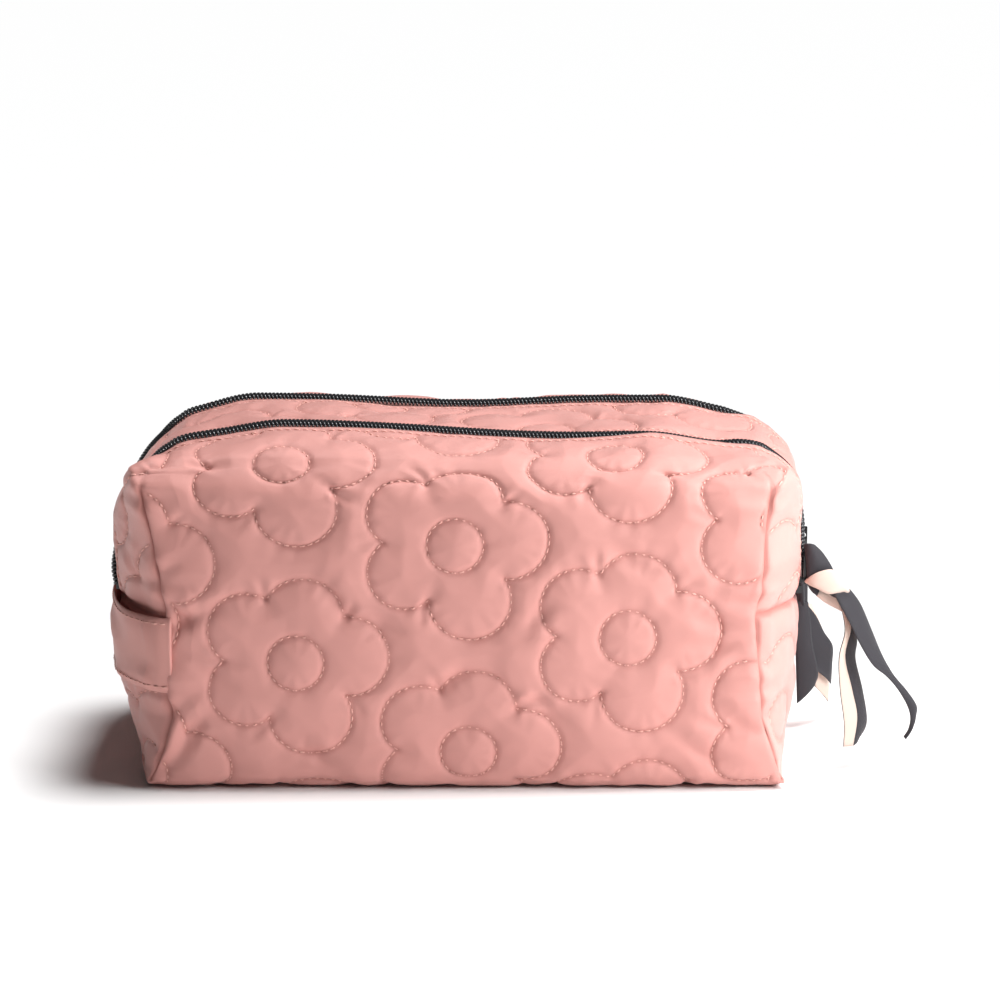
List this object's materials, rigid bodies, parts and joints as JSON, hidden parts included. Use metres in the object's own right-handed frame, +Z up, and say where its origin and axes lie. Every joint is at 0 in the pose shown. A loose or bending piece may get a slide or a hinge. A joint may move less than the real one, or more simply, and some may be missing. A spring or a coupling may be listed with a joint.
{
  "type": "makeup bag",
  "caption": "Soft quilted box-shaped bag with long zips over its top, a strap across one end and ribbon-tied zip pullers.",
  "frame": {"origin": "middle of the base, on the surface that the bag stands on", "axes": "+X along the bag to the end where the zips close, +Y from its front to its back, +Z up"},
  "size_m": [0.3202, 0.13, 0.135],
  "materials": {
    "quilted_satin": "satin",
    "strap_satin": "satin",
    "lining": "satin",
    "zip_tape": "matte",
    "zip_teeth": "gloss",
    "zip_metal": "gloss",
    "black_ribbon": "satin",
    "cream_ribbon": "satin"
  },
  "bodies": {
    "bag": {"main_panel": "quilted_satin", "centre_strip": "quilted_satin", "front_lining": "lining", "back_lining": "lining", "divider": "lining", "side_strap": "strap_satin", "front_zip_inner_tape": "zip_tape", "front_zip_inner_teeth": "zip_teeth", "back_zip_inner_tape": "zip_tape", "back_zip_inner_teeth": "zip_teeth", "front_zip_bottom_stop": "zip_metal", "front_zip_top_stops": "zip_metal", "back_zip_bottom_stop": "zip_metal", "back_zip_top_stops": "zip_metal"},
    "front_mouth": {"front_flap": "quilted_satin", "front_flap_lining": "lining", "front_zip_outer_tape": "zip_tape", "front_zip_outer_teeth": "zip_teeth"},
    "front_slider": {"front_slider": "zip_metal"},
    "front_puller": {"front_puller": "zip_metal", "front_ribbon_knot": "black_ribbon", "front_black_ribbon": "black_ribbon", "front_cream_ribbon": "cream_ribbon"},
    "back_mouth": {"back_flap": "quilted_satin", "back_flap_lining": "lining", "back_zip_outer_tape": "zip_tape", "back_zip_outer_teeth": "zip_teeth"},
    "back_slider": {"back_slider": "zip_metal"},
    "back_puller": {"back_puller": "zip_metal", "back_ribbon_knot": "black_ribbon", "back_black_ribbon": "black_ribbon", "back_cream_ribbon": "cream_ribbon"}
  },
  "joints": [
    {"name": "front_mouth_fold", "type": "hinge", "parent": "bag", "child": "front_mouth", "pos_m": [0, -0.065, 0.09], "axis": [1, 0, 0], "range_deg": [0, 30], "deforming": ["front_zip_outer_tape", "front_zip_outer_teeth"]},
    {"name": "front_slider_travel", "type": "hinge", "parent": "bag", "child": "front_slider", "pos_m": [0.0865, -0.027, 0.0875], "axis": [0, -1, 0], "range_deg": [0, 90], "deforming": ["front_zip_inner_tape", "front_zip_inner_teeth"]},
    {"name": "front_puller_swing", "type": "hinge", "parent": "front_slider", "child": "front_puller", "pos_m": [0.1373, -0.027, 0.078], "axis": [0, -1, 0], "range_deg": [0, 110]},
    {"name": "back_mouth_fold", "type": "hinge", "parent": "bag", "child": "back_mouth", "pos_m": [0, 0.065, 0.09], "axis": [-1, 0, 0], "range_deg": [0, 30], "deforming": ["back_zip_outer_tape", "back_zip_outer_teeth"]},
    {"name": "back_slider_travel", "type": "hinge", "parent": "bag", "child": "back_slider", "pos_m": [0.0865, 0.027, 0.0875], "axis": [0, -1, 0], "range_deg": [0, 90], "deforming": ["back_zip_inner_tape", "back_zip_inner_teeth"]},
    {"name": "back_puller_swing", "type": "hinge", "parent": "back_slider", "child": "back_puller", "pos_m": [0.1373, 0.027, 0.078], "axis": [0, -1, 0], "range_deg": [0, 110]}
  ]
}
